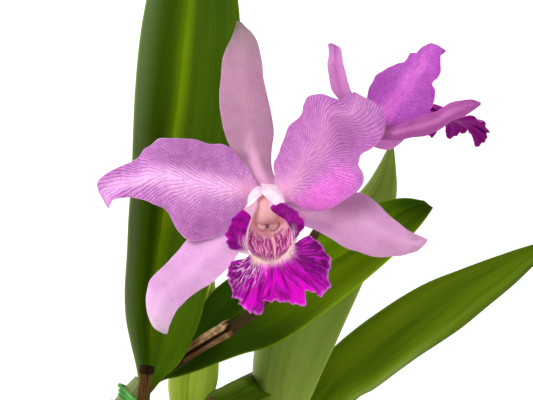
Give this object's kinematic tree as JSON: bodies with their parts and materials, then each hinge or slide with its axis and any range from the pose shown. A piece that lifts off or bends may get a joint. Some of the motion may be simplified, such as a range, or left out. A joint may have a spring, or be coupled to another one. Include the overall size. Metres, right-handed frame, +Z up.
{
  "type": "cattleya orchid",
  "caption": "Potted cattleya orchid with leathery leaves on upright canes, a staked flowering cane, and pink flowers with frilled magenta lips.",
  "frame": {"origin": "centre of the pot's underside, on the surface it stands on", "axes": "+Z up, the front flower faces -Y, +X to the viewer's right"},
  "size_m": [0.2298, 0.1608, 0.4143],
  "materials": {
    "clay": "matt unglazed terracotta",
    "bark": "rough dry bark chips",
    "root": "dull silvery green root skin",
    "cane": "smooth ribbed olive green with papery rings",
    "leaf": "leathery, satin wax bloom",
    "sepal": "soft satin, finely veined",
    "petal": "soft satin with a net of veins",
    "lip": "velvety magenta with pale throat",
    "column": "waxy cream and pink",
    "stalk": "smooth dark olive brown",
    "sheath": "dry papery tan",
    "stake": "weathered striped cane",
    "tie": "soft green garden tie"
  },
  "bodies": {
    "root": {"pot": "clay", "bark": "bark", "rootstock": "root", "front_cane": "cane", "middle_cane": "cane", "rear_cane": "cane", "front_cane_left_leaf": "leaf", "front_cane_right_leaf": "leaf", "middle_cane_left_leaf": "leaf", "middle_cane_right_leaf": "leaf", "rear_cane_left_leaf": "leaf", "rear_cane_right_leaf": "leaf", "stake": "stake", "stake_ring": "stake", "stake_tie": "tie", "flower_stalk": "stalk", "flower_sheath": "sheath", "old_sheath": "sheath", "front_dorsal_sepal": "sepal", "front_left_sepal": "sepal", "front_right_sepal": "sepal", "front_left_petal": "petal", "front_right_petal": "petal", "front_lip": "lip", "front_column": "column", "front_anther_cap": "column", "back_dorsal_sepal": "sepal", "back_near_sepal": "sepal", "back_far_sepal": "sepal", "back_near_petal": "petal", "back_far_petal": "petal", "back_lip": "lip", "back_column": "column", "back_anther_cap": "column"}
  },
  "joints": []
}
